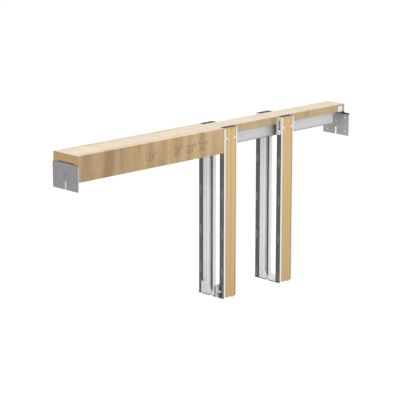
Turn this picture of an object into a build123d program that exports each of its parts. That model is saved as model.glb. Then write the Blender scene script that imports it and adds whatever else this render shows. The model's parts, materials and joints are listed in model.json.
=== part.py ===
from build123d import *
import os

# Pocket door frame: a timber header with a sliding-door track under it, held between two end
# brackets and standing on two pairs of steel-wrapped split studs that leave a pocket for the door.
# X runs along the header from the door opening into the pocket, +Y points to the back of the wall,
# +Z points up, and the origin lies on the floor under the middle of the frame. Millimetres.

# Overall sizes
wall_depth = 88.9
frame_height = 434.0
header_length = 927.0

# Header boards
side_depth = 16.0
nailer_length = 465.4
nailer_height = 62.0
core_thickness = 19.5
board_edge = 0.6

# Split studs: a board wrapped in a folded steel channel
stud_width = 45.7
stud_pitch = 203.4
board_thickness = 7.8
sheet = 0.9
bend_radius = 1.2
lip_width = 5.1
groove_width = 20.6
slot_length = 23.5
slot_width = 5.4
slot_corner = 1.7
slot_depth = 6.4
slot_pitch = 100.0

# Caps and hangers at the stud tops
cap_thickness = 1.4
hanger_drop = 46.0
hanger_radius = 5.0
hanger_lip_gap = 1.0
hanger_slot_length = 25.0
hanger_slot_drop = 21.5
strap_screw_drop = 38.0
strap_screw_depth = 7.0
strap_sides = {"mouth": [1], "pocket": [-1, 1]}

# Track
track_width = 33.8
track_height = 30.5
track_wall = 1.8
track_roof = 2.4
track_slot = 12.0
track_end_gap = 31.0
track_bead = 1.2
track_bead_height = 3.2
rail_rise = 1.6
rail_width = 2.4
track_screw_count = 6
track_screw_margin = 40.0

# End brackets
bracket_sheet = 2.5
bracket_bend = 4.2
bracket_drop = 84.5
bracket_corner = 3.0
shelf_reach = 29.0
shelf_clearance = 0.5
notch_width = 4.8
notch_height = 19.5
nail_hole = 4.5
nail_side = 13.3
nail_low = 9.5
nail_high = 46.8
pin_hole = 3.2
pin_hole_drop = 48.8
ear_sheet = 1.5
ear_width = 16.9
ear_from_end = 9.8
ear_top_drop = 3.9

# Floor plates
plate_sheet = 2.5
tab_height = 8.5
tab_clearance = 0.4
tab_relief = 1.0
floor_hole = 5.0
floor_hole_side = 8.0
floor_hole_pitch = 28.8
chalk_notch = 6.5

# Door guides at the mouth of the pocket
guide_sheet = 1.2
guide_reach = 12.5
guide_overlap = 7.0
guide_depth = 5.5
guide_height = 32.0
guide_corner = 9.0
guide_flange = 11.0
guide_bend = 1.2
guide_slot_length = 7.0
guide_slot_width = 4.0
guide_slot_height = 11.0
guide_screw_height = 17.0

# Screws, each a plain faceted stand-in
head_radius = 3.0
head_height = 1.9
head_taper = 32.0
head_facets = 10
shank_facets = 6
shank_radius = 1.6
screw_clearance = 0.3
stud_screw_left = 9.6
stud_screw_drop = 28.0
stud_screw_length = 19.0
strap_screw_length = 9.0
track_screw_length = 16.0
ear_screw_length = 14.0
shelf_screw_length = 14.0
shelf_screw_inset = 14.0
shelf_screw_pitch = 26.0
guide_screw_length = 8.0

# Places worked out from the sizes
header_left = -header_length / 2
header_right = header_length / 2
core_bottom = frame_height - core_thickness
core_width = wall_depth - 2 * side_depth
front_face = -wall_depth / 2
core_front = front_face + side_depth
stud_length = frame_height - cap_thickness - plate_sheet
stud_middle = plate_sheet + stud_length / 2
stud_half = stud_width / 2
board_back = sheet + board_thickness
groove_floor = board_back + sheet
mouth_x = header_left + nailer_length + sheet + stud_half
stud_places = {"mouth": mouth_x, "pocket": mouth_x + stud_pitch}
track_length = header_length - 2 * track_end_gap
track_side = track_width / 2
track_roof_under = core_bottom - track_roof
slots_in_length = int(stud_length // slot_pitch)
slot_counts = {"mouth": slots_in_length, "pocket": slots_in_length + 1}
screw_hole = shank_radius + screw_clearance
mouth_left = mouth_x - stud_half
guide_screw_y = front_face + (board_back + side_depth) / 2
stud_screw_right = lip_width + head_radius + screw_clearance
stud_screw_span = stud_width - stud_screw_left - stud_screw_right
stud_screw_shift = (stud_screw_left - stud_screw_right) / 2


def keep(builder, name):
    """Label a finished piece and write it to its own file."""
    builder.part.label = name
    export_step(builder.part, f"parts/{name}.step")


def keep_pair(builder, name):
    """Write a piece of the front side, and its mirror image for the back side."""
    keep(builder, f"front_{name}")
    with BuildPart() as back:
        mirror(builder.part, about=Plane.XZ)
    keep(back, f"back_{name}")


def pan_screw(length):
    """A faceted pan-head screw about Z: its head sits on Z = 0 and its shank points down."""
    with BuildPart() as screw:
        with BuildSketch():
            RegularPolygon(head_radius, head_facets)
        extrude(amount=head_height, taper=head_taper)
        with BuildSketch():
            RegularPolygon(shank_radius, shank_facets)
        extrude(amount=-length)
    return screw.part


def pilot_drill(length):
    """A faceted rod about Z, this long both ways, that cuts the hole for a screw."""
    with BuildPart() as rod:
        with BuildSketch():
            RegularPolygon(screw_hole, shank_facets)
        extrude(amount=length, both=True)
    return rod.part


def across(x, y, z, towards):
    """A plane through a point with its normal along +X or -X and its own X axis pointing up."""
    return Plane((x, y, z), x_dir=(0, 0, 1), z_dir=(towards, 0, 0))


def facing_front(x, z, y=front_face):
    """A plane through a point, its normal towards the front and its own X axis along the header."""
    return Plane((x, y, z), x_dir=(1, 0, 0), z_dir=(0, -1, 0))


os.makedirs("parts", exist_ok=True)

# Screws of each kind, and the drills for their pilot holes
track_screw = pan_screw(track_screw_length)
shelf_screw = pan_screw(shelf_screw_length)
ear_screw = pan_screw(ear_screw_length)
stud_screw = pan_screw(stud_screw_length)
strap_screw = pan_screw(strap_screw_length)
guide_screw = pan_screw(guide_screw_length)
track_drill = pilot_drill(track_screw_length)
shelf_drill = pilot_drill(shelf_screw_length)
ear_drill = pilot_drill(wall_depth / 2)
stud_drill = pilot_drill(stud_screw_length)
strap_drill = pilot_drill(strap_screw_length)
guide_drill = pilot_drill(guide_screw_length)

# Header core: one long board, with pilot holes for the track, ear and shelf screws
track_screw_pitch = (track_length - 2 * track_screw_margin) / (track_screw_count - 1)
ear_x = header_right - ear_from_end - ear_width / 2
ear_screw_z = (frame_height - ear_top_drop + core_bottom) / 2
shelf_x = header_left + shelf_screw_inset
with BuildPart() as core:
    with BuildSketch(Plane.YZ.offset(header_left)):
        with Locations((0, frame_height)):
            Rectangle(core_width, core_thickness, align=(Align.CENTER, Align.MAX))
    extrude(amount=header_length)
    chamfer(core.edges().filter_by(Axis.X), board_edge)
    with Locations(Plane.XY.offset(core_bottom)):
        with GridLocations(track_screw_pitch, 0, track_screw_count, 1):
            add(track_drill, mode=Mode.SUBTRACT)
        with Locations((shelf_x, 0)):
            with GridLocations(0, shelf_screw_pitch, 1, 2):
                add(shelf_drill, mode=Mode.SUBTRACT)
    with Locations(Plane((ear_x, 0, ear_screw_z), z_dir=(0, 1, 0))):
        add(ear_drill, mode=Mode.SUBTRACT)
keep(core, "header_core")

# Nailers: the two side boards over the door opening, that the casing is nailed to
with BuildPart() as nailer:
    with BuildSketch(Plane.YZ.offset(header_left)):
        with Locations((front_face, frame_height)):
            Rectangle(side_depth, nailer_height, align=(Align.MIN, Align.MAX))
    extrude(amount=nailer_length)
    chamfer(nailer.edges().filter_by(Axis.X), board_edge)
keep_pair(nailer, "nailer")

# Track: an extruded aluminium channel, open below, with a rail for the wheels beside its slot
slot_half = track_slot / 2
flange_top = core_bottom - track_height + track_wall
with BuildPart() as track:
    with BuildSketch(Plane.YZ.offset(header_left + track_end_gap)):
        with Locations((0, core_bottom)):
            Rectangle(track_width, track_height, align=(Align.CENTER, Align.MAX))
        with Locations((0, core_bottom - track_height)):
            Rectangle(track_width + 2 * track_bead, track_bead_height, align=(Align.CENTER, Align.MIN))
        with Locations((0, track_roof_under)):
            Rectangle(track_width - 2 * track_wall, track_roof_under - flange_top,
                      align=(Align.CENTER, Align.MAX), mode=Mode.SUBTRACT)
        with Locations((0, core_bottom)):
            Rectangle(track_slot, track_height, align=(Align.CENTER, Align.MAX), mode=Mode.SUBTRACT)
        with Locations((0, core_bottom)):
            Rectangle(track_width, track_roof, align=(Align.CENTER, Align.MAX))
        with Locations((-slot_half - rail_width / 2, flange_top), (slot_half + rail_width / 2, flange_top)):
            Rectangle(rail_width, rail_rise, align=(Align.CENTER, Align.MIN))
    extrude(amount=track_length)
    with Locations(Plane.XY.offset(core_bottom)):
        with GridLocations(track_screw_pitch, 0, track_screw_count, 1):
            add(track_drill, mode=Mode.SUBTRACT)
keep(track, "track")

# Track screws: driven up through the roof of the track, heads inside the channel
with BuildPart() as track_screws:
    with Locations(Plane((0, 0, track_roof_under), x_dir=(1, 0, 0), z_dir=(0, 0, -1))):
        with GridLocations(track_screw_pitch, 0, track_screw_count, 1):
            add(track_screw)
keep(track_screws, "track_screws")


def end_plate(plane, nail_rows):
    """The upright plate of an end bracket: round lower corners, rows of nail holes and a height slot."""
    top = core_bottom - bracket_bend
    height = top - (frame_height - bracket_drop)
    with BuildPart() as plate:
        with BuildSketch(plane):
            with Locations((0, top)):
                Rectangle(wall_depth, height, align=(Align.CENTER, Align.MAX))
            with Locations((0, top - height)):
                Rectangle(notch_width, notch_height, align=(Align.CENTER, Align.MIN), mode=Mode.SUBTRACT)
            with Locations((0, frame_height - pin_hole_drop)):
                Circle(pin_hole / 2, mode=Mode.SUBTRACT)
            for up in nail_rows:
                with Locations((0, top - height + up)):
                    with GridLocations(wall_depth - 2 * nail_side, 0, 2, 1):
                        Circle(nail_hole / 2, mode=Mode.SUBTRACT)
        extrude(amount=bracket_sheet)
        fillet(plate.edges().filter_by(Axis.X).group_by(Axis.Z)[0].group_by(Axis.Y)[0], bracket_corner)
        fillet(plate.edges().filter_by(Axis.X).group_by(Axis.Z)[0].group_by(Axis.Y)[-1], bracket_corner)
    return plate.part


def shelf(x, inward):
    """The shelf bent in from an end plate's top edge, as wide as the core that rests on it."""
    face = x - inward * bracket_sheet
    top = core_bottom - bracket_bend
    with BuildPart() as bent:
        with BuildSketch(Plane.XZ.offset(-core_width / 2 + shelf_clearance)):
            with BuildLine():
                Polyline((x + inward * shelf_reach, core_bottom), (face + inward * bracket_bend, core_bottom))
                ThreePointArc((face + inward * bracket_bend, core_bottom),
                              (face + inward * bracket_bend * (1 - 0.5 ** 0.5), top + bracket_bend * 0.5 ** 0.5),
                              (face, top))
                Line((face, top), (x, top))
                ThreePointArc((x, top),
                              (face + inward * (bracket_bend - (bracket_bend - bracket_sheet) * 0.5 ** 0.5),
                               top + (bracket_bend - bracket_sheet) * 0.5 ** 0.5),
                              (face + inward * bracket_bend, core_bottom - bracket_sheet))
                Polyline((face + inward * bracket_bend, core_bottom - bracket_sheet),
                         (x + inward * shelf_reach, core_bottom - bracket_sheet),
                         (x + inward * shelf_reach, core_bottom))
            make_face()
        extrude(amount=core_width - 2 * shelf_clearance)
    return bent.part


# Left end bracket: its shelf is screwed up into the core between the nailers
with BuildPart() as left_bracket:
    add(end_plate(Plane.YZ.offset(header_left - bracket_sheet), [nail_low]))
    add(shelf(header_left, 1))
    with Locations(Plane((shelf_x, 0, core_bottom), z_dir=(0, 0, 1))):
        with GridLocations(0, shelf_screw_pitch, 1, 2):
            add(shelf_drill, mode=Mode.SUBTRACT)
keep(left_bracket, "left_end_bracket")

# Right end bracket: no nailers here, so its shelf turns up in two ears on the sides of the core
with BuildPart() as right_bracket:
    add(end_plate(Plane.YZ.offset(header_right), [nail_low, nail_high]))
    add(shelf(header_right, -1))
    with BuildSketch(Plane.YZ.offset(header_right - ear_from_end - ear_width)):
        with Locations((0, core_bottom - bracket_sheet)):
            Rectangle(core_width + 2 * ear_sheet, core_thickness + bracket_sheet - ear_top_drop,
                      align=(Align.CENTER, Align.MIN))
        with Locations((0, core_bottom)):
            Rectangle(core_width, core_thickness, align=(Align.CENTER, Align.MIN), mode=Mode.SUBTRACT)
    extrude(amount=ear_width)
    with Locations(Plane((ear_x, 0, ear_screw_z), z_dir=(0, 1, 0))):
        add(ear_drill, mode=Mode.SUBTRACT)
keep(right_bracket, "right_end_bracket")

# Bracket screws: two up through the left shelf, one through each ear on the right
with BuildPart() as bracket_screws:
    with Locations(Plane((shelf_x, 0, core_bottom - bracket_sheet), z_dir=(0, 0, -1))):
        with GridLocations(0, shelf_screw_pitch, 1, 2):
            add(shelf_screw)
    with Locations(facing_front(ear_x, ear_screw_z, core_front - ear_sheet)):
        add(ear_screw)
    with Locations(Plane((ear_x, ear_sheet - core_front, ear_screw_z), z_dir=(0, 1, 0))):
        add(ear_screw)
keep(bracket_screws, "bracket_screws")

for pair, stud_x in stud_places.items():
    stud_plane = Plane((stud_x, front_face, plate_sheet))
    screw_plane = facing_front(stud_x + stud_screw_shift, frame_height - stud_screw_drop, front_face + sheet)
    strap_screw_y = front_face + strap_screw_depth
    strap_screw_z = frame_height - strap_screw_drop
    hanger_side = stud_half + sheet

    # Stud steel: one strip folded into a channel with lips on the face and a groove down its web
    with BuildPart() as steel:
        with BuildSketch(stud_plane):
            with BuildLine():
                FilletPolyline((lip_width - stud_half, 0), (-stud_half, 0), (-stud_half, side_depth),
                               (-groove_width / 2, side_depth), (-groove_width / 2, groove_floor),
                               (groove_width / 2, groove_floor), (groove_width / 2, side_depth),
                               (stud_half, side_depth), (stud_half, 0), (stud_half - lip_width, 0),
                               radius=bend_radius)
                offset(amount=sheet, side=Side.RIGHT)
            make_face()
        extrude(amount=stud_length)
        for side in (-1, 1):
            flange = across(stud_x + side * stud_half, front_face + slot_depth, stud_middle, side)
            with BuildSketch(flange) as slots:
                with GridLocations(slot_pitch, 0, slot_counts[pair], 1):
                    Rectangle(slot_length, slot_width)
                chamfer(slots.vertices(), slot_corner)
            extrude(amount=2 * sheet, both=True, mode=Mode.SUBTRACT)
        for side in strap_sides[pair]:
            with Locations(across(stud_x + side * stud_half, strap_screw_y, strap_screw_z, side)):
                add(strap_drill, mode=Mode.SUBTRACT)
        with Locations(screw_plane):
            with GridLocations(stud_screw_span, 0, 2, 1):
                add(stud_drill, mode=Mode.SUBTRACT)
        if pair == "mouth":
            with Locations(across(mouth_left, guide_screw_y, guide_screw_height, -1)):
                add(guide_drill, mode=Mode.SUBTRACT)
    keep_pair(steel, f"{pair}_stud_steel")

    # Stud board: the nailing strip that the steel channel holds by its lips
    with BuildPart() as board:
        with BuildSketch(stud_plane):
            with Locations((0, sheet)):
                Rectangle(stud_width - 2 * sheet, board_thickness, align=(Align.CENTER, Align.MIN))
        extrude(amount=stud_length)
        chamfer(board.edges().filter_by(Axis.Z), bend_radius - sheet)
        with Locations(screw_plane):
            with GridLocations(stud_screw_span, 0, 2, 1):
                add(stud_drill, mode=Mode.SUBTRACT)
        for side in strap_sides[pair]:
            with Locations(across(stud_x + side * stud_half, strap_screw_y, strap_screw_z, side)):
                add(strap_drill, mode=Mode.SUBTRACT)
    keep_pair(board, f"{pair}_stud_board")

    # Hanger: a bent bracket whose straps clasp the stud and whose arms reach in beside the track
    hang_low = frame_height - hanger_drop
    track_front = -track_side
    with BuildPart() as hanger:
        with BuildSketch(across(stud_x - hanger_side, 0, 0, 1)):
            with BuildLine():
                strap_front = front_face + hanger_lip_gap
                FilletPolyline((frame_height, -strap_front), (hang_low, -strap_front),
                               (hang_low, -track_front), (core_bottom, -track_front),
                               radius=hanger_radius)
                Polyline((core_bottom, -track_front), (core_bottom, -core_front),
                         (frame_height, -core_front), (frame_height, -strap_front))
            make_face()
        extrude(amount=2 * hanger_side)
        with BuildSketch(Plane.XY.offset(hang_low)):
            with Locations((stud_x, core_front + sheet)):
                Rectangle(stud_width, track_front - core_front - sheet, align=(Align.CENTER, Align.MIN))
        extrude(amount=hanger_drop, mode=Mode.SUBTRACT)
        with BuildSketch(Plane.XY.offset(hang_low)):
            with Locations((stud_x, front_face)):
                Rectangle(stud_width, side_depth, align=(Align.CENTER, Align.MIN))
        extrude(amount=hanger_drop, mode=Mode.SUBTRACT)
        slot_plane = across(stud_x, front_face + slot_depth, frame_height - hanger_slot_drop, 1)
        with BuildSketch(slot_plane) as slot:
            Rectangle(hanger_slot_length, slot_width)
            chamfer(slot.vertices(), slot_corner)
        extrude(amount=2 * hanger_side, both=True, mode=Mode.SUBTRACT)
        for side in strap_sides[pair]:
            with Locations(across(stud_x + side * hanger_side, strap_screw_y, strap_screw_z, side)):
                add(strap_drill, mode=Mode.SUBTRACT)
        with Locations(screw_plane):
            with GridLocations(stud_screw_span, 0, 2, 1):
                add(stud_drill, mode=Mode.SUBTRACT)
    keep_pair(hanger, f"{pair}_hanger")

    # Stud cap: a thin dark plate that closes the top of the stud
    with BuildPart() as cap:
        with BuildSketch(Plane.XY.offset(frame_height - cap_thickness)):
            with Locations((stud_x, front_face)):
                Rectangle(stud_width, side_depth, align=(Align.CENTER, Align.MIN))
        extrude(amount=cap_thickness)
    keep_pair(cap, f"{pair}_stud_cap")

    # Stud screws: two through the face of the board into the hanger, and one in each strap
    with BuildPart() as stud_screws:
        with Locations(screw_plane):
            with GridLocations(stud_screw_span, 0, 2, 1):
                add(stud_screw)
        for side in strap_sides[pair]:
            with Locations(across(stud_x + side * hanger_side, strap_screw_y, strap_screw_z, side)):
                add(strap_screw)
    keep_pair(stud_screws, f"{pair}_stud_screws")

    # Floor plate: notched steel strip under both studs, with a tab turned up in each groove
    tab_width = groove_width - 2 * (bend_radius + tab_clearance)
    tab_back = front_face + groove_floor
    with BuildPart() as plate:
        with BuildSketch(Plane((stud_x, 0, 0))):
            Rectangle(stud_width, wall_depth)
            for side in (-1, 1):
                with Locations((0, side * wall_depth / 2)):
                    Rectangle(tab_width + 2 * tab_relief, 2 * groove_floor, mode=Mode.SUBTRACT)
            with GridLocations(stud_width - 2 * floor_hole_side, floor_hole_pitch, 2, 2):
                Circle(floor_hole / 2, mode=Mode.SUBTRACT)
            with GridLocations(stud_width, 0, 2, 1):
                Rectangle(chalk_notch, chalk_notch, rotation=45, mode=Mode.SUBTRACT)
        extrude(amount=plate_sheet)
        for side in (-1, 1):
            with BuildSketch(Plane((stud_x, 0, 0))):
                with Locations((0, side * (-tab_back - plate_sheet / 2))):
                    Rectangle(tab_width, plate_sheet)
            extrude(amount=plate_sheet + tab_height)
    keep(plate, f"{pair}_floor_plate")

# Door guides: folded strips on the studs at the mouth, that keep the door in line with its pocket
guide_half = guide_sheet / 2
flange_x = mouth_left - guide_half
guide_left = mouth_left - guide_reach
guide_right = mouth_left + guide_overlap
guide_screw_plane = across(mouth_left - guide_sheet, guide_screw_y, guide_screw_height, -1)
with BuildPart() as guide:
    with BuildSketch(Plane.XY.offset(plate_sheet)):
        with BuildLine():
            FilletPolyline((flange_x, core_front - guide_flange), (flange_x, core_front + guide_half),
                           (guide_left + guide_half, core_front + guide_half),
                           (guide_left + guide_half, core_front + guide_depth - guide_half),
                           (guide_right - guide_half, core_front + guide_depth - guide_half),
                           (guide_right - guide_half, core_front), radius=guide_bend)
        trace(line_width=guide_sheet)
    extrude(amount=guide_height)
    with BuildSketch(facing_front(guide_left, plate_sheet)):
        Rectangle(guide_corner, guide_corner, align=(Align.MIN, Align.MIN))
        with Locations((guide_corner, guide_corner)):
            Circle(guide_corner, mode=Mode.SUBTRACT)
    extrude(amount=wall_depth, both=True, mode=Mode.SUBTRACT)
    with BuildSketch(facing_front(guide_left + guide_reach / 2, guide_slot_height, core_front)):
        SlotOverall(guide_slot_length, guide_slot_width)
    extrude(amount=-guide_sheet, mode=Mode.SUBTRACT)
    with Locations(guide_screw_plane):
        add(guide_drill, mode=Mode.SUBTRACT)
keep_pair(guide, "door_guide")

# Guide screws: one through each guide's flange into the side of its stud
with BuildPart() as guide_screw_part:
    with Locations(guide_screw_plane):
        add(guide_screw)
keep_pair(guide_screw_part, "guide_screw")
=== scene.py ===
import json
import math
import bpy
import numpy as np
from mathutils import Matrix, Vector


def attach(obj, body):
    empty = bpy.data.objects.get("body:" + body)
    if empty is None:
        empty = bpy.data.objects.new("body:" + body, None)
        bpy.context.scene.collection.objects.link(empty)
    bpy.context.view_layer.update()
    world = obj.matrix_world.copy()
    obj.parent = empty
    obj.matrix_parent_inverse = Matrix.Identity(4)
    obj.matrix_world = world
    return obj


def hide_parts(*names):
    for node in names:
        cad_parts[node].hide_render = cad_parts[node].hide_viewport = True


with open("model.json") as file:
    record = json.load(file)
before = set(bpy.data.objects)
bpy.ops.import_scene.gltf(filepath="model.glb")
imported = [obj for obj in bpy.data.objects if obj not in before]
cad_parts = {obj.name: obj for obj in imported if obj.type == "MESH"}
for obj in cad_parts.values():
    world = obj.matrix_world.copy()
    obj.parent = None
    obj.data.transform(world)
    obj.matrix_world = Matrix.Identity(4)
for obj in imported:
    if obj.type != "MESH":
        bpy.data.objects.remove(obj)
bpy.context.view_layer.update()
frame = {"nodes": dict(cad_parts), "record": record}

# Header core: one long planed softwood board that carries the track and spans the whole opening. Its
# grain runs along X, and the finish is a solid block of wood, so that the sawn ends show end grain.


class Flow:
    """A value on its way through a node tree. Arithmetic on it adds Math nodes and gives a new Flow."""

    def __init__(self, tree, socket):
        self.tree = tree
        self.socket = socket

    def math(self, operation, *values):
        return self.tree.node("Math", {"operation": operation}, dict(enumerate(values)))

    def __add__(self, other):
        return self.math("ADD", self, other)

    def __radd__(self, other):
        return self.math("ADD", other, self)

    def __sub__(self, other):
        return self.math("SUBTRACT", self, other)

    def __rsub__(self, other):
        return self.math("SUBTRACT", other, self)

    def __mul__(self, other):
        return self.math("MULTIPLY", self, other)

    def __rmul__(self, other):
        return self.math("MULTIPLY", other, self)

    def __truediv__(self, other):
        return self.math("DIVIDE", self, other)

    def __rtruediv__(self, other):
        return self.math("DIVIDE", other, self)

    def __abs__(self):
        return self.math("ABSOLUTE", self)

    def rise(self, low, high):
        """0 below low, 1 above high and a smooth rise between them."""
        settings = {"interpolation_type": "SMOOTHSTEP"}
        return self.tree.node("MapRange", settings, {0: self, 1: low, 2: high})


class Tree:
    """A node tree while it is wired. Every node that is added to it comes from node()."""

    def __init__(self, node_tree):
        self.node_tree = node_tree

    def feed(self, socket, value):
        """Links a Flow to a socket, or sets a plain value on it."""
        if isinstance(value, Flow):
            self.node_tree.links.new(value.socket, socket)
        elif isinstance(value, tuple) and len(socket.default_value) > len(value):
            socket.default_value = (*value, 1.0)
        else:
            socket.default_value = value

    def node(self, kind, settings=None, sockets=None, out=0):
        """A shader node of this kind: first its settings, then the values or links of its sockets."""
        made = self.node_tree.nodes.new("ShaderNode" + kind)
        for name, value in (settings or {}).items():
            setattr(made, name, value)
        for name, value in (sockets or {}).items():
            self.feed(made.inputs[name], value)
        return Flow(self, made.outputs[out])


class Finish(Tree):
    """A material while it is mixed from patterns on Object coordinates."""

    def __init__(self, name, roughness, metallic=0.0):
        self.material = bpy.data.materials.new(name)
        self.material.use_nodes = True
        super().__init__(self.material.node_tree)
        self.shader = self.node_tree.nodes["Principled BSDF"]
        self.shader.inputs["Roughness"].default_value = roughness
        self.shader.inputs["Metallic"].default_value = metallic
        self.place = self.node("TexCoord", out="Object")

    def along(self, axis, vector=None):
        """How far along X, Y or Z, given as 0, 1 or 2, a place or another vector reaches."""
        return self.node("SeparateXYZ", None, {0: vector or self.place}, out=axis)

    def looks(self, axis):
        """How far a face looks along X, Y or Z, given as 0, 1 or 2: from -1 to 1."""
        return self.along(axis, self.node("NewGeometry", out="Normal"))

    def blend(self, share, first, second):
        """The two colours mixed, with this share of the second."""
        return self.node("Mix", {"data_type": "RGBA"}, {0: share, 6: first, 7: second}, out=2)

    def placed(self, scale, turn=(0.0, 0.0, 0.0), shift=(0.0, 0.0, 0.0), vector=None):
        """Object coordinates, or another vector, stretched, turned and shifted by a Mapping node."""
        sockets = {"Vector": vector or self.place, "Scale": scale, "Rotation": turn, "Location": shift}
        return self.node("Mapping", None, sockets)

    def noise(self, vector, scale=1.0, detail=2.0, rough=0.5, out=0):
        """Noise of about scale cells a metre along the vector: a value, or with out=1 a colour."""
        sockets = {"Vector": vector, "Scale": scale, "Detail": detail, "Roughness": rough}
        return self.node("TexNoise", None, sockets, out)

    def paint(self, colour, roughness=None, bumps=None, depth=None):
        """Feeds the shader: colour, roughness, and a height in shares of depth metres."""
        self.feed(self.shader.inputs["Base Color"], colour)
        if roughness is not None:
            self.feed(self.shader.inputs["Roughness"], roughness)
        if bumps is not None:
            normal = self.node("Bump", None, {"Distance": depth, "Height": bumps})
            self.feed(self.shader.inputs["Normal"], normal)
        return self.material


nodes = frame["nodes"]
record_slots = {part["node"]: part["material_slot"] for part in frame["record"]["subparts"]}


def dress(slot, material):
    """Every CAD node with this slot in the record takes the finish."""
    for name, node in nodes.items():
        if record_slots[name] == slot:
            node.data.materials.clear()
            node.data.materials.append(material)


plain_scale = (1.0, 1.0, 1.0)
fibre_cells = (14.0, 1100.0, 1100.0)
band_cells = (30.0, 5.0, 5.0)
bow_cells, bow_depth = (1.6, 14.0, 14.0), 0.007
drift_cells, drift_depth = (6.0, 20.0, 40.0), 0.02
summer_start, summer_full, summer_end = 0.25, 0.92, 0.93
streak_slant = 0.12
lip_shadow_fade, lip_shadow_share = 0.0022, 0.4
fibre_share, grain_depth = 0.18, 0.0001


def softwood(name, pale, dark, end, upright=False, pith=(0.0, 0.06, -0.09), lean=(0.02, 0.035),
             ring=0.0042, rings=0.2, figure=0.3, shift=0.0, streaks=(), painted_faces=None, lip_shadow=None):
    """Planed softwood as a solid block: rings about a pith line that runs almost along the grain.

    The ring number is the distance from the pith line over the ring width, bent by a slow noise. Each
    ring darkens from spring wood to a thin summer line, by the share called rings. Fibres are a noise
    stretched along the grain, and the figure is a noise stretched across it, so it stands in soft
    bands. The block is shifted along its grain. The pith line is moved by pith and leans by the two
    turns of lean, in radians about Y and about Z. A streak is a place along the grain, a half width
    and how much darker the slanting bell there is. Faces that cut across the grain take the end
    colour. An axis with a pale and a dark colour can be given for the two faces that look along it: a
    painted highlight where they are paler than the others, and painted shade where they are darker.
    Three lengths can be given for a pair of upright strips whose middles lie at the first plus or
    minus the second along X: past the third from a middle, the wood is painted darker, a painted
    shadow beside the lips.
    """
    wood = Finish(name, roughness=0.36)
    turn = (0.0, math.pi / 2, 0.0) if upright else (0.0, 0.0, 0.0)
    block = wood.placed(plain_scale, turn=turn, shift=(shift, 0.0, 0.0))
    tilted = wood.placed(plain_scale, turn=(0.0, *lean), shift=pith, vector=block)
    bow = wood.noise(wood.placed(bow_cells, vector=tilted), out=1)
    bow = wood.node("VectorMath", {"operation": "SCALE"}, {0: bow, "Scale": bow_depth})
    bent = wood.node("VectorMath", {"operation": "ADD"}, {0: tilted, 1: bow})
    flat = wood.node("VectorMath", {"operation": "MULTIPLY"}, {0: bent, 1: (0.0, 1.0, 1.0)})
    radius = wood.node("VectorMath", {"operation": "LENGTH"}, {0: flat}, out=1)
    phase = wood.node("Math", {"operation": "FRACT"}, {0: radius / ring})
    summer = phase.rise(summer_start, summer_full) * (1.0 - phase.rise(summer_end, 1.0))
    fibre = wood.noise(wood.placed(fibre_cells, vector=block), detail=3.0, rough=0.6).rise(0.3, 0.75)
    bands = wood.noise(wood.placed(band_cells, vector=block), detail=3.0, rough=0.62).rise(0.32, 0.7)
    shade = summer * rings + fibre * fibre_share + bands * figure
    lengthwise, crosswise = (2, 0) if upright else (0, 2)
    slanting = wood.along(lengthwise) - wood.along(crosswise) * streak_slant
    slanting = slanting + wood.noise(wood.placed(drift_cells)) * drift_depth
    for middle, half_width, strength in streaks:
        shade = shade + (1.0 - (abs(slanting - middle) / half_width).rise(0.0, 1.0)) * strength
    # Painted shadow: past the given reach from a strip's middle, the wood beside the lips is darker.
    if lip_shadow:
        between, apart, reach = lip_shadow
        off_strip = abs(abs(wood.along(0) - between) - apart)
        shade = shade + off_strip.rise(reach, reach + lip_shadow_fade) * lip_shadow_share
    colour = wood.blend(shade, pale, dark)
    cut = abs(wood.looks(lengthwise)).rise(0.7, 0.9)
    colour = wood.blend(cut, colour, wood.blend(summer * 0.6 + fibre * 0.2, end, dark))
    # Painted light and shade: the faces that look along the given axis take their own paler or darker
    # colours.
    if painted_faces:
        axis, face_pale, face_dark = painted_faces
        side = abs(wood.looks(axis)).rise(0.7, 0.9)
        colour = wood.blend(side, colour, wood.blend(shade, face_pale, face_dark))
    grain = fibre * 0.6 + summer * 0.4
    return wood.paint(colour, roughness=0.32 + fibre * 0.1, bumps=grain, depth=grain_depth)


# The core's top is painted paler and whiter than its other faces, a painted highlight.
dress("header_wood", softwood(
    "core_softwood", pale=(0.60, 0.445, 0.25), dark=(0.39, 0.255, 0.12), end=(0.63, 0.38, 0.115),
    rings=0.1, figure=0.34, streaks=[(0.150, 0.022, 0.4), (0.280, 0.014, 0.35), (0.090, 0.02, -0.2)],
    painted_faces=(2, (0.74, 0.615, 0.455), (0.58, 0.435, 0.28))))

# Nailers: two side boards over the door opening, in a darker board than the core, with broad bands
# across the grain and one dark stain. The casing is nailed to them.
# The nailers' tops are painted paler and whiter than their other faces, a painted highlight.
dress("nailer_wood", softwood(
    "nailer_softwood", pale=(0.635, 0.435, 0.222), dark=(0.335, 0.215, 0.095), end=(0.62, 0.39, 0.14),
    pith=(0.0, 0.12, 0.10), ring=0.0055, rings=0.08, figure=0.72, shift=0.31,
    streaks=[(-0.405, 0.034, 0.6), (-0.213, 0.024, -0.45), (-0.058, 0.09, -0.35)],
    painted_faces=(2, (0.70, 0.575, 0.42), (0.56, 0.425, 0.28))))

# Cut marks: brown ink on the front nailer, where the header is sawn off for a narrower door. Each is a
# line right across the board, with the door's width over it.
mark_distances = {"24": 0.2217, "28": 0.3046, "30": 0.3488, "32": 0.3883}
ink_colour, worn_colour = (0.23, 0.145, 0.065), (0.48, 0.325, 0.16)
ink_depth = 0.00005
ink_cells = 420.0
line_width = 0.0009
figures_width, figures_height = 0.0285, 0.0215
figures_left, figures_rise = -0.0087, 0.0175


def extent(name):
    """The lowest and the highest corner of a CAD node's box."""
    corners = np.empty(len(nodes[name].data.vertices) * 3)
    nodes[name].data.vertices.foreach_get("co", corners)
    corners = corners.reshape(-1, 3)
    return corners.min(axis=0), corners.max(axis=0)


(nailer_left, nailer_face, nailer_low), (_, _, nailer_high) = extent("front_nailer")


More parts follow.
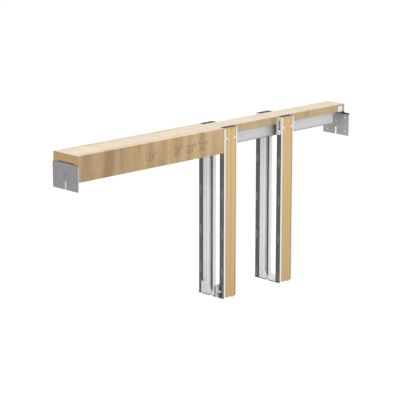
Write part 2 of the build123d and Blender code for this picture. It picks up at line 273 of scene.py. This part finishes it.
def unit_box():
    """The corners and faces of a box from 0 to 1 each way, its faces outward."""
    corners = np.array([[x, y, z] for z in (0.0, 1.0) for x, y in ((0, 0), (1, 0), (1, 1), (0, 1))])
    faces = [[0, 3, 2, 1], [4, 5, 6, 7], [0, 1, 5, 4], [1, 2, 6, 5], [2, 3, 7, 6], [3, 0, 4, 7]]
    return corners, faces


def figures(words):
    """Words as a thin solid, stretched to run from 0 to 1 along the words, up them and through them."""
    writing = bpy.data.curves.new("figures", "FONT")
    writing.body = words
    writing.extrude = 0.1
    maker = bpy.data.objects.new("figures", writing)
    bpy.context.scene.collection.objects.link(maker)
    solid = bpy.data.meshes.new_from_object(maker.evaluated_get(bpy.context.evaluated_depsgraph_get()))
    bpy.data.objects.remove(maker)
    corners = np.empty(len(solid.vertices) * 3)
    solid.vertices.foreach_get("co", corners)
    corners = corners.reshape(-1, 3)
    corners = (corners - corners.min(axis=0)) / np.ptp(corners, axis=0)
    return corners, [list(face.vertices) for face in solid.polygons]


def on_nailer(shape, left, low, width, height):
    """A shape's corners laid on the nailer: its own X along the board, its own Y up, its own Z outward."""
    corners, faces = shape
    across, up, out = corners.T
    return np.stack([left + across * width, nailer_face - out * ink_depth, low + up * height], axis=1), faces


def new_piece(name, material, shapes):
    """One object from several shapes, each a list of corners and of faces, that rides on the frame."""
    points, faces = [], []
    for corners, corner_lists in shapes:
        start = sum(len(part) for part in points)
        faces += [[start + corner for corner in face] for face in corner_lists]
        points.append(corners)
    mesh = bpy.data.meshes.new(name)
    mesh.from_pydata(np.vstack(points), [], faces)
    mesh.materials.append(material)
    piece = bpy.data.objects.new(name, mesh)
    bpy.context.scene.collection.objects.link(piece)
    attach(piece, "root")
    return piece


ink = Finish("brown_ink", roughness=0.6)
worn = ink.noise(ink.place, ink_cells, detail=3.0).rise(0.42, 0.66)
brown_ink = ink.paint(ink.blend(worn, ink_colour, worn_colour), roughness=0.55 + worn * 0.2,
                      bumps=worn, depth=0.00002)
for words, distance in mark_distances.items():
    mark_x = nailer_left + distance
    line = on_nailer(unit_box(), mark_x - line_width / 2, nailer_low, line_width, nailer_high - nailer_low)
    number = on_nailer(figures(words + '"'), mark_x + figures_left, nailer_low + figures_rise,
                       figures_width, figures_height)
    new_piece(f"cut_mark_{words}", brown_ink, [line, number])

# Track: an extruded aluminium channel with fine die lines along it, darker along its lowest few
# millimetres, screwed up to the core through its roof, so that the screw heads show only from below.
mill_bright, mill_tarnished, bottom_band_colour = (0.67, 0.675, 0.68), (0.58, 0.585, 0.59), (0.36, 0.36, 0.37)
die_line_cells, tarnish_cells = (1.5, 900.0, 900.0), (9.0, 30.0, 30.0)
bottom_band_height, bottom_band_fade = 0.0026, 0.0004
roof_thickness = 0.0024
track_screw_margin, track_screw_count, track_screw_length = 0.040, 6, 0.016
track_low, track_high = extent("track")
aluminium = Finish("extruded_aluminium", roughness=0.42, metallic=0.35)
die_lines = aluminium.noise(aluminium.placed(die_line_cells), detail=3.0, rough=0.6)
clouds = aluminium.noise(aluminium.placed(tarnish_cells))
tarnish = die_lines.rise(0.35, 0.7) * 0.25 + clouds.rise(0.35, 0.7) * 0.25
bottom_band_top = track_low[2] + bottom_band_height
bottom_band = 1.0 - aluminium.along(2).rise(bottom_band_top - bottom_band_fade, bottom_band_top)
mill = aluminium.blend(tarnish, mill_bright, mill_tarnished)
mill = aluminium.blend(bottom_band, mill, bottom_band_colour)
dress("track_aluminium", aluminium.paint(mill, roughness=0.38 + die_lines * 0.12,
                                         bumps=die_lines, depth=0.00003))

screw_sectors = 40
head_radius, head_height = 0.0030, 0.0019
crown_rim, crown_power, crown_rings, crown_start = 0.35, 2.6, 20, 0.08
recess_reach, recess_half_width, recess_depth, recess_softness = 0.0018, 0.00038, 0.0010, 0.00022
shank_radius, thread_depth, thread_pitch, rings_per_turn = 0.0016, 0.00045, 0.0014, 7
crest_sharpness, thread_start, shank_top, shank_rest = 2.6, 0.0006, 0.0003, 0.0004
tip_length, tip_least, tip_power = 0.0035, 0.06, 0.8
smooth_angle = 42.0


def closed_rings(radii, heights, crown, tip):
    """A closed surface: rings about Z in four-sided faces, from a pole at the crown to one at the tip."""
    rows, sectors = radii.shape
    turn = np.arange(sectors) * 2 * math.pi / sectors
    rings = np.stack([radii * np.cos(turn), radii * np.sin(turn), heights], axis=2).reshape(-1, 3)
    points = np.vstack([rings, [[0.0, 0.0, crown], [0.0, 0.0, tip]]])
    ring = np.arange(rows * sectors).reshape(rows, sectors)
    ahead = np.roll(ring, -1, axis=1)
    walls = np.stack([ring[:-1], ring[1:], ahead[1:], ahead[:-1]], axis=2).reshape(-1, 4)
    cap = np.stack([np.full(sectors, rows * sectors), ring[0], ahead[0]], axis=1)
    end = np.stack([np.full(sectors, rows * sectors + 1), ahead[-1], ring[-1]], axis=1)
    return points, walls.tolist() + cap.tolist() + end.tolist()


def turned_screw(length):
    """A pan-head screw about Z that sits on Z = 0, with a cross recess and a cut thread.

    The crown's height is a share of the head at the rim plus the rest of it times the square root of
    1 - (radius over head radius) to a power. Where the smaller of |x| and |y| is inside the half width
    of the recess, and the radius inside its reach, the crown drops by the depth of the recess. Down
    the shank the radius is the core plus a sharp crest whose phase is the depth over the pitch plus
    the share of a turn, and over the last stretch it narrows to the tip.
    """
    turn = np.arange(screw_sectors) * 2 * math.pi / screw_sectors
    out = np.linspace(crown_start, 1.0, crown_rings)[:, None] * head_radius
    dome = np.sqrt(np.clip(1 - (out / head_radius) ** crown_power, 0, 1))
    dome = head_height * (crown_rim + (1 - crown_rim) * dome)
    narrow = np.minimum(abs(out * np.cos(turn)), abs(out * np.sin(turn)))
    recess = np.clip((recess_half_width - narrow) / recess_softness + 0.5, 0, 1)
    recess = recess * np.clip((recess_reach - out) / recess_softness + 0.5, 0, 1)
    crown_radii = np.repeat(out, screw_sectors, axis=1)
    crown_heights = dome - recess_depth * recess
    rim = np.full((1, screw_sectors), head_radius)
    collar = np.full((1, screw_sectors), shank_radius - thread_depth)
    shank_rings = int(length / thread_pitch * rings_per_turn)
    depth = np.linspace(shank_top, length - shank_rest, shank_rings)[:, None]
    phase = (depth / thread_pitch + turn / (2 * math.pi)) % 1.0
    crest = np.clip(1.0 - crest_sharpness * abs(phase - 0.5), 0, 1)
    fade = np.clip((depth - thread_start) / thread_pitch, 0, 1)
    point = np.clip((length - depth) / tip_length, tip_least, 1) ** tip_power
    shank = (shank_radius - thread_depth * (1 - crest * fade)) * point
    radii = np.vstack([crown_radii, rim, collar, shank])
    level = np.zeros((1, screw_sectors))
    heights = np.vstack([crown_heights, level, level, np.repeat(-depth, screw_sectors, axis=1)])
    return closed_rings(radii, heights, head_height - recess_depth, -length)


def seated(shape, seat, facing):
    """A shape about Z moved to its seat, with its +Z turned to face this way."""
    points, faces = shape
    turn = np.array(Vector(facing).to_track_quat("Z", "Y").to_matrix())
    return points @ turn.T + np.array(seat), faces


def drive_screws(node, screws):
    """Turned screws in place of a node's plain ones, each given as its seat, its facing and its length."""
    shapes = [seated(turned_screw(length), seat, facing) for seat, facing, length in screws]
    piece = new_piece(f"threaded_{node}", screw_zinc, shapes)
    piece.data.polygons.foreach_set("use_smooth", [True] * len(piece.data.polygons))
    piece.data.set_sharp_from_angle(angle=math.radians(smooth_angle))
    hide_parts(node)


plating_bright, plating_handled = (0.95, 0.95, 0.96), (0.80, 0.80, 0.81)
plating_cells = 600.0
zinc = Finish("screw_zinc", roughness=0.28, metallic=0.35)
handled = zinc.noise(zinc.place, plating_cells, detail=3.0)
plating = zinc.blend(handled.rise(0.35, 0.75), plating_bright, plating_handled)
screw_zinc = zinc.paint(plating, roughness=0.24 + handled * 0.16, bumps=handled, depth=0.00001)
roof_under = track_high[2] - roof_thickness
last_screw_x = track_high[0] - track_screw_margin
drive_screws("track_screws", [((x, 0.0, roof_under), (0, 0, -1), track_screw_length)
                              for x in np.linspace(-last_screw_x, last_screw_x, track_screw_count)])

# End brackets: upright plates of folded zinc-coated steel. The left shelf is screwed up into the core,
# and the right one turns up in two ears with a screw through each. Their faces that look along X are
# painted darker as shade, their folds that look up are painted near black as the shadow under the
# core, and the right plate has a band of painted shadow near its top. The right bracket is the same
# steel as the left, painted brighter to make up for the shade that the core casts on it.
crystal_cells, cloud_cells, speck_cells = 130.0, 24.0, 900.0
crystal_share, cloud_share, speck_share = 0.4, 0.35, 0.25
middle_shade_fade, fold_fade = 0.0003, 0.001
fold_line, fold_line_fade, fold_share = 0.0006, 0.0020, 0.45
painted_groove_light, sides_dull = (0.99, 0.99, 0.99), 0.7
band_low_fade, band_high_fade, band_side_fade = 0.003, 0.0004, 0.006


def zinc_sheet(name, bright, dull, painted_sides, roughness=0.36, mottle=0.3, middle_shade=None, top_shade=None, shade_band=None,
               groove=None):
    """Zinc-coated sheet: crystals that differ slightly in tone and gloss, under a cloudy film.

    The crystals are Voronoi cells, and the film is two noises, one of them fine. Faces that look along
    X take the colour given for the sides, which stands in for light and shade: on most sheets it is a
    painted shade that makes the sides dark. A distance and a colour can be given for the middle: nearer
    than that to the middle plane, the sheet is painted with that colour as shade. A dark colour can be
    given for faces that look up, along a fold, as painted shade, and the sheet has it as well in a band
    of painted shadow: two heights and a distance, between the heights and past the distance from the
    middle. Groove is five lengths. The first two give the middles of two grooves down the sheet, at the
    first plus or minus the second along X. The third is the half width, where a painted shade line runs
    along the fold. A groove's walls have the sides colour only between the last two distances from the
    middle plane, and past them the groove is painted brighter, a painted light.
    """
    steel = Finish(name, roughness=roughness, metallic=0.3)
    crystals = steel.node("TexVoronoi", None, {"Vector": steel.place, "Scale": crystal_cells}, out=1)
    tone = steel.node("SeparateColor", None, {0: crystals})
    cloud = steel.noise(steel.place, cloud_cells, detail=3.0)
    speck = steel.noise(steel.place, speck_cells)
    film = cloud.rise(0.3, 0.7) * cloud_share + speck.rise(0.35, 0.7) * speck_share
    share = (tone * crystal_share + film) * mottle
    # Painted shade: faces that look along X take the colour given for the sides, dark on most sheets.
    sideways = abs(steel.looks(0)).rise(0.6, 0.85)
    from_middle = abs(steel.along(1))
    if groove:
        between, apart, half_width, wall_near, wall_far = groove
        off_groove = abs(abs(steel.along(0) - between) - apart)
        inside = 1.0 - off_groove.rise(half_width, half_width + 2 * fold_fade)
        past_wall = from_middle.rise(wall_far, wall_far + fold_fade)
        wall = from_middle.rise(wall_near, wall_near + fold_fade) * (1.0 - past_wall)
        sideways = sideways * (1.0 - inside * (1.0 - wall))
        # Painted shade: a darker line along each fold at the groove's edge.
        off_fold = abs(off_groove - (half_width + fold_fade))
        bright = steel.blend((1.0 - off_fold.rise(fold_line, fold_line_fade)) * fold_share, bright, painted_sides)
        # Painted light: the groove's floor past its walls is painted brighter.
        bright = steel.blend(inside * past_wall, bright, painted_groove_light)
    shaded = steel.blend(share, painted_sides, tuple(level * sides_dull for level in painted_sides))
    colour = steel.blend(sideways, steel.blend(share, bright, dull), shaded)
    # Painted shade: nearer than the given distance to the middle plane, the sheet takes the dark colour.
    if middle_shade:
        distance, middle_shade_colour = middle_shade
        colour = steel.blend(1.0 - from_middle.rise(distance, distance + middle_shade_fade), colour, middle_shade_colour)
    # Painted shade: faces that look up, and a band near the top, take the dark colour given for the tops.
    if top_shade:
        colour = steel.blend(steel.looks(2).rise(0.15, 0.5), colour, top_shade)
    if shade_band:
        low, high, distance = shade_band
        height = steel.along(2)
        level = height.rise(low, low + band_low_fade) * (1.0 - height.rise(high, high + band_high_fade))
        colour = steel.blend(level * from_middle.rise(distance, distance + band_side_fade), colour, top_shade)
    return steel.paint(colour, roughness=roughness - 0.03 + tone * 0.06, bumps=cloud, depth=0.00002)


dress("bracket_steel", zinc_sheet(
    "left_bracket_zinc", bright=(0.56, 0.56, 0.565), dull=(0.46, 0.46, 0.46), painted_sides=(0.325, 0.325, 0.325),
    roughness=0.55, mottle=0.4, top_shade=(0.09, 0.09, 0.09)))
nodes["right_end_bracket"].data.materials[0] = zinc_sheet(
    "right_bracket_zinc", bright=(0.82, 0.82, 0.825), dull=(0.70, 0.70, 0.70), painted_sides=(0.48, 0.48, 0.48),
    roughness=0.55, mottle=0.4, top_shade=(0.07, 0.07, 0.07), shade_band=(0.4045, 0.4146, 0.010))
shelf_sheet, shelf_screw_inset, shelf_screw_y = 0.0025, 0.014, 0.013
ear_sheet, ear_screw_inset, ear_screw_z = 0.0015, 0.01825, 0.4223
bracket_screw_length = 0.014
core_low, core_high = extent("header_core")
shelf_screw_x, shelf_under = core_low[0] + shelf_screw_inset, core_low[2] - shelf_sheet
ear_screw_x, ear_face = core_high[0] - ear_screw_inset, core_high[1] + ear_sheet
shelf_screws = [((shelf_screw_x, side * shelf_screw_y, shelf_under), (0, 0, -1), bracket_screw_length)
                for side in (-1, 1)]
ear_screws = [((ear_screw_x, side * ear_face, ear_screw_z), (0, side, 0), bracket_screw_length)
              for side in (-1, 1)]
drive_screws("bracket_screws", shelf_screws + ear_screws)

# Split studs: a yellower softwood strip with the grain upright, gripped by the lips of a folded steel
# channel, bright on its webs and lips, with a groove pressed down the web. The channel's sides are
# painted dark as shade, a painted shade line runs along each fold of the groove, and the groove's
# floor is painted brighter, a painted light.
strip_reach = 0.0155
groove_half_width, groove_wall_near, groove_wall_far = 0.0103, 0.0288, 0.0338
stud_middles = {pair: sum(extent(f"front_{pair}_stud_steel"))[0] / 2 for pair in ("mouth", "pocket")}
pairs_between = (stud_middles["mouth"] + stud_middles["pocket"]) / 2
pairs_apart = (stud_middles["pocket"] - stud_middles["mouth"]) / 2
# The strip's faces that look along X, seen through the slots, are painted dark as shade, and the wood beside
# each lip is painted darker, a painted shadow. The one streak darkens the strips towards the bottom.
dress("stud_wood", softwood(
    "stud_softwood", pale=(0.80, 0.555, 0.255), dark=(0.45, 0.265, 0.085), end=(0.60, 0.42, 0.21),
    upright=True, pith=(0.0, 0.08, 0.05), lean=(0.004, 0.006), ring=0.0085, rings=0.3, figure=0.04,
    streaks=[(0.0, 0.45, 0.28)], painted_faces=(0, (0.32, 0.20, 0.085), (0.26, 0.16, 0.065)),
    lip_shadow=(pairs_between, pairs_apart, strip_reach)))
dress("stud_steel", zinc_sheet(
    "stud_zinc", bright=(0.88, 0.882, 0.886), dull=(0.80, 0.80, 0.805), painted_sides=(0.097, 0.097, 0.096),
    groove=(pairs_between, pairs_apart, groove_half_width, groove_wall_near, groove_wall_far)))

# Hangers and caps: a bent bracket clasps each stud's top and reaches in beside the track, and a thin dark
# plate with bare edges closes the top. Two screws go through the stud's face, and one through each free
# strap.
arm_reach = 0.0284
# The hanger's arm, nearer the middle plane than arm_reach, is painted dark as the shade beside the track.
dress("hanger_steel", zinc_sheet(
    "hanger_zinc", bright=(0.84, 0.84, 0.84), dull=(0.74, 0.74, 0.74), painted_sides=(0.82, 0.815, 0.81),
    middle_shade=(arm_reach, (0.15, 0.15, 0.14))))
coat_dark, coat_scuffed, bare_edge = (0.042, 0.038, 0.034), (0.15, 0.135, 0.12), (0.52, 0.46, 0.38)
scuff_cells = (60.0, 240.0, 240.0)
cap_coat = Finish("cap_coat", roughness=0.5)
cap_coat.shader.inputs["Specular IOR Level"].default_value = 0.15
scuffs = cap_coat.noise(cap_coat.placed(scuff_cells), detail=4.0).rise(0.5, 0.75)
level_faces = abs(cap_coat.looks(2)).rise(0.5, 0.9)
coated = cap_coat.blend(level_faces, bare_edge, cap_coat.blend(scuffs, coat_dark, coat_scuffed))
dress("cap_dark", cap_coat.paint(coated, roughness=0.6 + scuffs * 0.2, bumps=scuffs, depth=0.00003))
face_screw_shift, face_screw_reach, face_screw_drop, face_screw_length = 0.0006, 0.01385, 0.028, 0.019
strap_screw_y, strap_screw_z, strap_screw_length = 0.03745, 0.3960, 0.009
free_straps = {"mouth": (1,), "pocket": (-1, 1)}
strip_face = -extent("front_mouth_stud_board")[0][1]
strap_face = np.ptp(extent("front_mouth_hanger"), axis=0)[0] / 2
face_screw_z = core_high[2] - face_screw_drop
for side, side_name in ((-1, "front"), (1, "back")):
    for pair, stud_x in stud_middles.items():
        face_screws = [((stud_x + face_screw_shift + reach, side * strip_face, face_screw_z), (0, side, 0),
                        face_screw_length) for reach in (-face_screw_reach, face_screw_reach)]
        strap_screws = [((stud_x + way * strap_face, side * strap_screw_y, strap_screw_z), (way, 0, 0),
                         strap_screw_length) for way in free_straps[pair]]
        drive_screws(f"{side_name}_{pair}_stud_screws", face_screws + strap_screws)

# Floor plates: notched strips of zinc-coated steel with turned-up tabs, which tie the feet of each pair
# of studs together and are screwed to the floor.
# Faces that look along X are painted near black, a painted shade.
dress("plate_steel", zinc_sheet(
    "plate_zinc", bright=(0.95, 0.95, 0.95), dull=(0.86, 0.86, 0.86), painted_sides=(0.05, 0.05, 0.05)))

# Door guides: folded strips screwed to the left sides of the two studs at the mouth, to keep the door in
# line with its pocket.
# Faces that look along X are painted near black, a painted shade.
dress("guide_steel", zinc_sheet(
    "guide_zinc", bright=(0.95, 0.95, 0.95), dull=(0.82, 0.82, 0.82), painted_sides=(0.045, 0.045, 0.045),
    mottle=0.5))
guide_screw_x, guide_screw_y, guide_screw_z, guide_screw_length = 0.0016, 0.0321, 0.0170, 0.008
for side, side_name in ((-1, "front"), (1, "back")):
    drive_screws(f"{side_name}_guide_screw",
                 [((guide_screw_x, side * guide_screw_y, guide_screw_z), (-1, 0, 0), guide_screw_length)])

# Studio floor: a plain sheet that keeps the frame's own soft shadow. To the eye and in reflections it
# glows white, and it sends light back up to the frame as a pale grey one does.
floor_reach = 12.0
floor_grey, seen_grey, floor_glow = 0.8, 0.4, 0.76
floor_mesh = bpy.data.meshes.new("studio_floor")
corners = [(-floor_reach, -floor_reach, 0.0), (floor_reach, -floor_reach, 0.0),
           (floor_reach, floor_reach, 0.0), (-floor_reach, floor_reach, 0.0)]
floor_mesh.from_pydata(corners, [], [(0, 1, 2, 3)])
floor = bpy.data.objects.new("studio_floor", floor_mesh)
bpy.context.scene.collection.objects.link(floor)


def seen(tree):
    """1 for the rays of the camera and of reflections, and 0 for the light that falls on things."""
    rays = {0: tree.node("LightPath", out="Is Camera Ray"), 1: tree.node("LightPath", out="Is Glossy Ray")}
    return tree.node("Math", {"operation": "MAXIMUM"}, rays)


white = Finish("floor_white", roughness=1.0)
white.shader.inputs["Specular IOR Level"].default_value = 0.0
white.shader.inputs["Emission Strength"].default_value = floor_glow
floor_seen = seen(white)
white.feed(white.shader.inputs["Emission Color"], white.blend(floor_seen, (0.0, 0.0, 0.0), (1.0, 1.0, 1.0)))
floor_mesh.materials.append(white.paint(white.blend(floor_seen, (floor_grey,) * 3, (seen_grey,) * 3)))

# Studio light: a pale dome, white to the eye and to the metal and dimmer as light, with one soft lamp
# above the frame and one in front of it.
dome_light, dome_white = 0.62, 1.0
world = bpy.data.worlds.new("studio_dome")
bpy.context.scene.world = world
world.use_nodes = True
dome = Tree(world.node_tree)
background = world.node_tree.nodes["Background"]
background.inputs["Color"].default_value = (1.0, 1.0, 1.0, 1.0)
dome_strength = dome.node("MapRange", None, {0: seen(dome), 3: dome_light, 4: dome_white})
dome.feed(background.inputs["Strength"], dome_strength)


def soft_lamp(name, place, aim, size, power):
    """A square lamp at a place, turned so that its face looks at the aim."""
    lamp = bpy.data.lights.new(name, "AREA")
    lamp.size = size
    lamp.energy = power
    lamp_object = bpy.data.objects.new(name, lamp)
    lamp_object.location = place
    lamp_object.rotation_euler = (Vector(aim) - Vector(place)).to_track_quat("-Z", "Y").to_euler()
    bpy.context.scene.collection.objects.link(lamp_object)


soft_lamp("lamp_above", place=(-0.8, -0.5, 2.7), aim=(-0.1, 0.0, 0.3), size=2.2, power=40.0)
soft_lamp("lamp_front", place=(1.6, -2.6, 1.6), aim=(0.0, 0.0, 0.2), size=1.8, power=14.0)

# Camera: stands before the left end of the frame with a long lens, looking down along it, as a catalogue
# view does.
camera_lens, sensor_width, camera_range = 159.77, 36.0, 60.0
camera_place = (-3.0034, -3.0413, 1.2759)
camera_dip, camera_heading = 13.53, -44.29
camera = bpy.data.cameras.new("catalogue_camera")
camera.lens = camera_lens
camera.sensor_width = sensor_width
camera.clip_end = camera_range
camera_object = bpy.data.objects.new("catalogue_camera", camera)
camera_object.location = camera_place
camera_object.rotation_euler = (math.radians(90.0 - camera_dip), 0.0, math.radians(camera_heading))
bpy.context.scene.collection.objects.link(camera_object)
bpy.context.scene.camera = camera_object
bpy.context.scene.view_settings.view_transform = "Standard"
